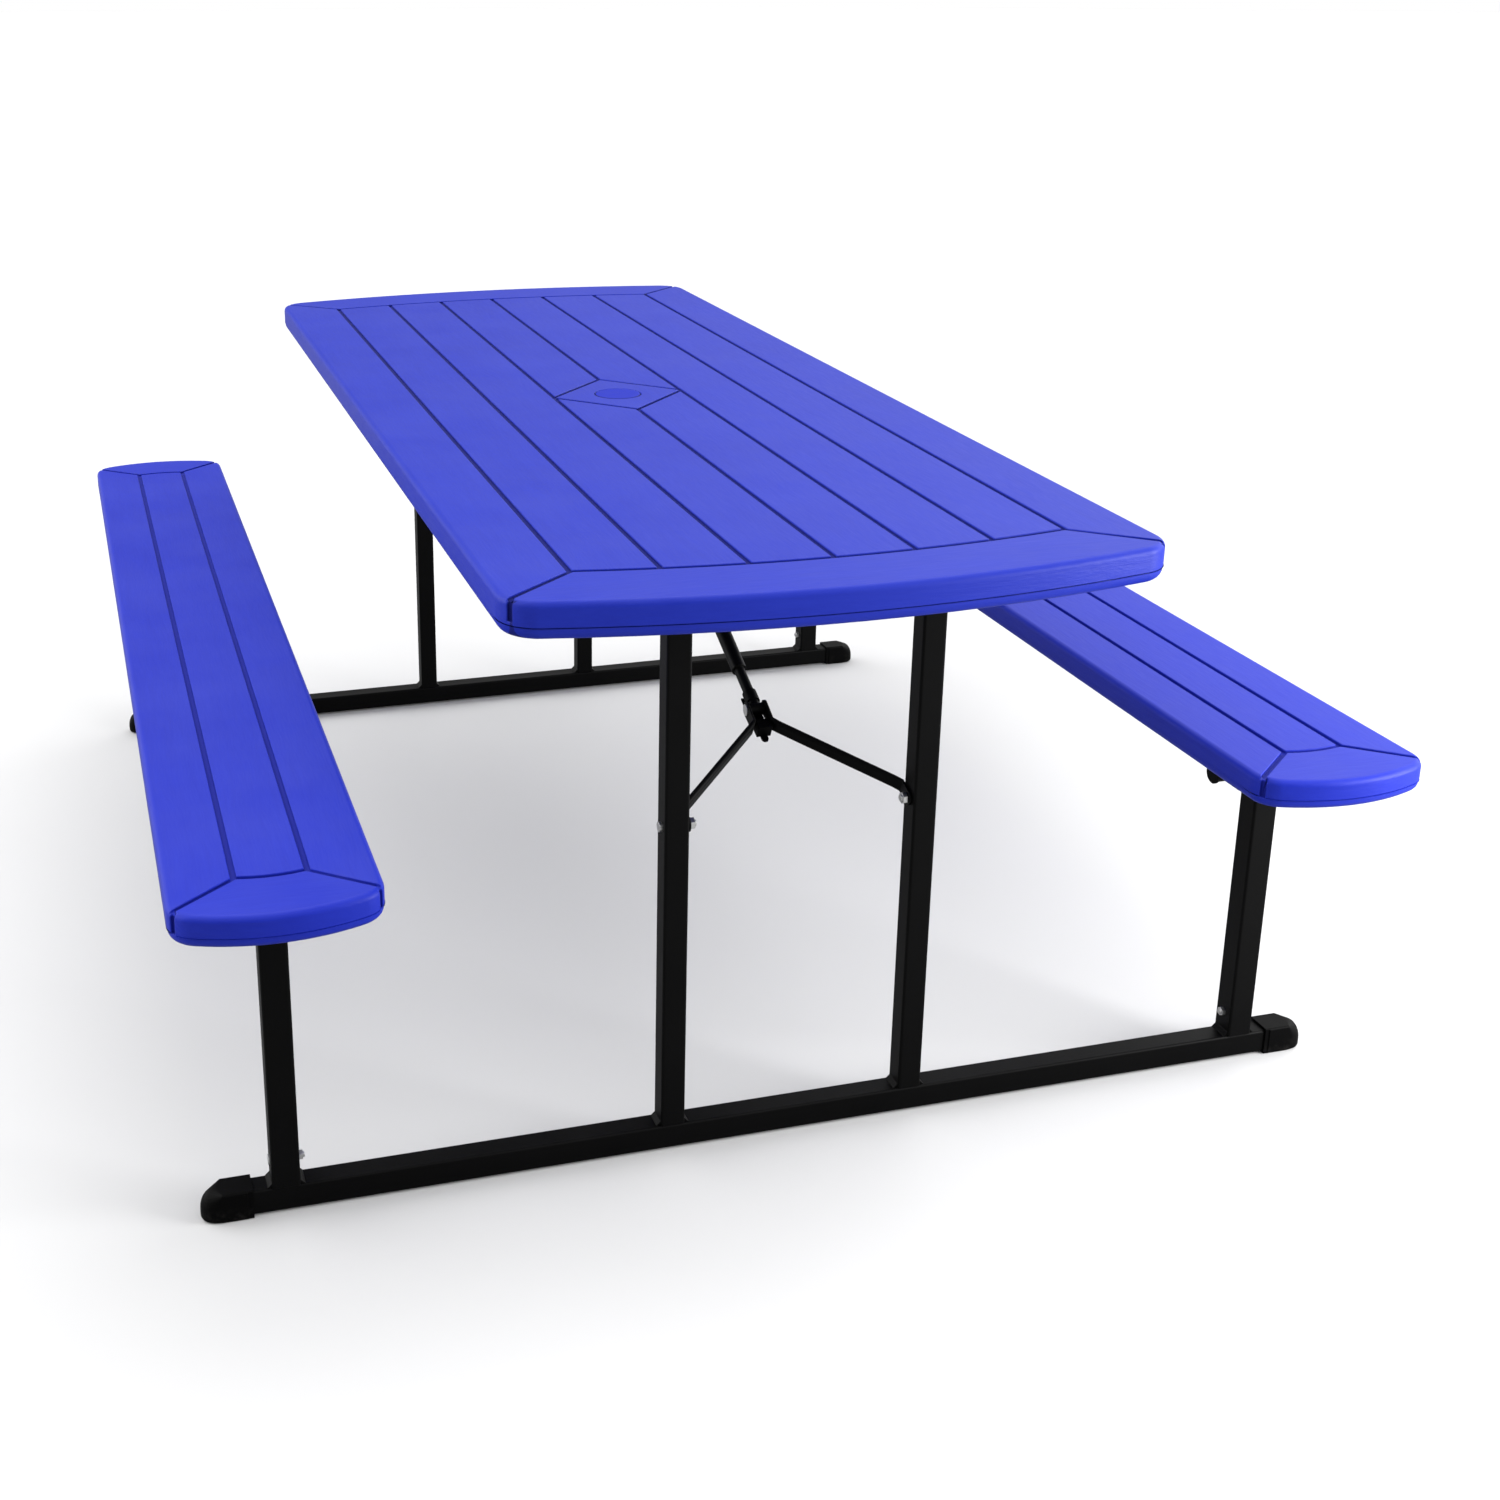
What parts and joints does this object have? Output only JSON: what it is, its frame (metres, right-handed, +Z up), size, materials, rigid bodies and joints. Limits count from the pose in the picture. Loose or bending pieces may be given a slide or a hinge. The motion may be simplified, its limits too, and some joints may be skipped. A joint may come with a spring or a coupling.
{
  "type": "folding picnic table",
  "caption": "Folding picnic table with attached bench seats, blue plank-pattern moulded top and seats, black steel tube end frames with knee braces.",
  "frame": {"origin": "On the ground, midway between the two end frames and midway between the two seats", "axes": "+X across the table to the right-hand seat, +Y along the table away from the pictured end, +Z up"},
  "size_m": [1.432, 1.829, 0.737],
  "materials": {
    "blue_plastic": "satin moulded with a faint wood grain",
    "cap_plastic": "satin moulded",
    "frame_coat": "satin black powder coat",
    "foot_plastic": "fine texture",
    "slide_plastic": "smooth",
    "zinc_bolts": "bright zinc"
  },
  "bodies": {
    "top": {"tabletop": "blue_plastic", "front_left_hinge_bracket": "frame_coat", "front_right_hinge_bracket": "frame_coat", "rear_left_hinge_bracket": "frame_coat", "rear_right_hinge_bracket": "frame_coat", "front_brace_anchor": "frame_coat", "rear_brace_anchor": "frame_coat", "anchor_pins": "zinc_bolts"},
    "hole_cap": {"umbrella_cap": "cap_plastic"},
    "front_frame": {"front_base_rail": "frame_coat", "front_left_foot_cap": "foot_plastic", "front_right_foot_cap": "foot_plastic", "front_left_table_leg": "frame_coat", "front_right_table_leg": "frame_coat", "front_left_bench_leg": "frame_coat", "front_right_bench_leg": "frame_coat", "front_hinge_tube": "frame_coat", "front_left_cross_tube": "frame_coat", "front_right_cross_tube": "frame_coat", "front_tube_plugs": "foot_plastic", "front_frame_bolts": "zinc_bolts"},
    "rear_frame": {"rear_base_rail": "frame_coat", "rear_left_foot_cap": "foot_plastic", "rear_right_foot_cap": "foot_plastic", "rear_left_table_leg": "frame_coat", "rear_right_table_leg": "frame_coat", "rear_left_bench_leg": "frame_coat", "rear_right_bench_leg": "frame_coat", "rear_hinge_tube": "frame_coat", "rear_left_cross_tube": "frame_coat", "rear_right_cross_tube": "frame_coat", "rear_tube_plugs": "foot_plastic", "rear_frame_bolts": "zinc_bolts"},
    "front_left_slider": {"front_left_slide_blocks": "slide_plastic"},
    "front_right_slider": {"front_right_slide_blocks": "slide_plastic"},
    "rear_left_slider": {"rear_left_slide_blocks": "slide_plastic"},
    "rear_right_slider": {"rear_right_slide_blocks": "slide_plastic"},
    "left_seat": {"left_bench": "blue_plastic", "left_front_guide": "frame_coat", "left_rear_guide": "frame_coat"},
    "right_seat": {"right_bench": "blue_plastic", "right_front_guide": "frame_coat", "right_rear_guide": "frame_coat"},
    "front_brace_lower": {"front_left_brace_arm": "frame_coat", "front_right_brace_arm": "frame_coat", "front_knee_pins": "zinc_bolts"},
    "front_brace_upper": {"front_brace_tube": "frame_coat"},
    "front_lock": {"front_knee_lock": "foot_plastic"},
    "rear_brace_lower": {"rear_left_brace_arm": "frame_coat", "rear_right_brace_arm": "frame_coat", "rear_knee_pins": "zinc_bolts"},
    "rear_brace_upper": {"rear_brace_tube": "frame_coat"},
    "rear_lock": {"rear_knee_lock": "foot_plastic"}
  },
  "joints": [
    {"name": "front_fold", "type": "hinge", "parent": "top", "child": "front_frame", "pos_m": [0, -0.739, 0.678], "axis": [1, 0, 0], "range_deg": [0, 90]},
    {"name": "rear_fold", "type": "hinge", "parent": "top", "child": "rear_frame", "pos_m": [0, 0.739, 0.678], "axis": [1, 0, 0], "range_deg": [-90, 0]},
    {"name": "front_left_slider_turn", "type": "hinge", "parent": "front_frame", "child": "front_left_slider", "pos_m": [-0.6025, -0.739, 0.395], "axis": [1, 0, 0], "range_deg": [-90, 0]},
    {"name": "front_right_slider_turn", "type": "hinge", "parent": "front_frame", "child": "front_right_slider", "pos_m": [0.6025, -0.739, 0.395], "axis": [1, 0, 0], "range_deg": [-90, 0]},
    {"name": "rear_left_slider_turn", "type": "hinge", "parent": "rear_frame", "child": "rear_left_slider", "pos_m": [-0.6025, 0.739, 0.395], "axis": [1, 0, 0], "range_deg": [0, 90]},
    {"name": "rear_right_slider_turn", "type": "hinge", "parent": "rear_frame", "child": "rear_right_slider", "pos_m": [0.6025, 0.739, 0.395], "axis": [1, 0, 0], "range_deg": [0, 90]},
    {"name": "left_seat_travel", "type": "slide", "parent": "front_left_slider", "child": "left_seat", "axis": [0, -1, 0], "range_m": [0, 0.283]},
    {"name": "right_seat_travel", "type": "slide", "parent": "front_right_slider", "child": "right_seat", "axis": [0, -1, 0], "range_m": [0, 0.283]},
    {"name": "front_brace_foot", "type": "hinge", "parent": "front_frame", "child": "front_brace_lower", "pos_m": [0, -0.739, 0.412], "axis": [1, 0, 0], "range_deg": [0, 65.47]},
    {"name": "front_brace_head", "type": "hinge", "parent": "top", "child": "front_brace_upper", "pos_m": [0, -0.156, 0.678], "axis": [1, 0, 0], "range_deg": [-24.53, 0]},
    {"name": "front_lock_release", "type": "slide", "parent": "front_brace_upper", "child": "front_lock", "axis": [0, 0.9098, 0.4151], "range_m": [0, 0.012]},
    {"name": "rear_brace_foot", "type": "hinge", "parent": "rear_frame", "child": "rear_brace_lower", "pos_m": [0, 0.739, 0.412], "axis": [1, 0, 0], "range_deg": [-65.47, 0]},
    {"name": "rear_brace_head", "type": "hinge", "parent": "top", "child": "rear_brace_upper", "pos_m": [0, 0.156, 0.678], "axis": [1, 0, 0], "range_deg": [0, 24.53]},
    {"name": "rear_lock_release", "type": "slide", "parent": "rear_brace_upper", "child": "rear_lock", "axis": [0, -0.9098, 0.4151], "range_m": [0, 0.012]},
    {"name": "hole_cap_lift", "type": "slide", "parent": "top", "child": "hole_cap", "axis": [0, 0, 1], "range_m": [0, 0.05]}
  ],
  "couplings": [
    {"joint": "rear_fold", "follows": "front_fold", "ratio": -1},
    {"joint": "front_left_slider_turn", "follows": "front_fold", "ratio": -1},
    {"joint": "front_right_slider_turn", "follows": "front_fold", "ratio": -1},
    {"joint": "rear_left_slider_turn", "follows": "front_fold", "ratio": 1},
    {"joint": "rear_right_slider_turn", "follows": "front_fold", "ratio": 1},
    {"joint": "left_seat_travel", "follows": "front_fold", "m_per_rad": 0.18016},
    {"joint": "right_seat_travel", "follows": "front_fold", "m_per_rad": 0.18016},
    {"joint": "front_brace_foot", "follows": "front_fold", "ratio": 0.7275},
    {"joint": "front_brace_head", "follows": "front_fold", "ratio": -0.2725},
    {"joint": "rear_brace_foot", "follows": "front_fold", "ratio": -0.7275},
    {"joint": "rear_brace_head", "follows": "front_fold", "ratio": 0.2725}
  ]
}
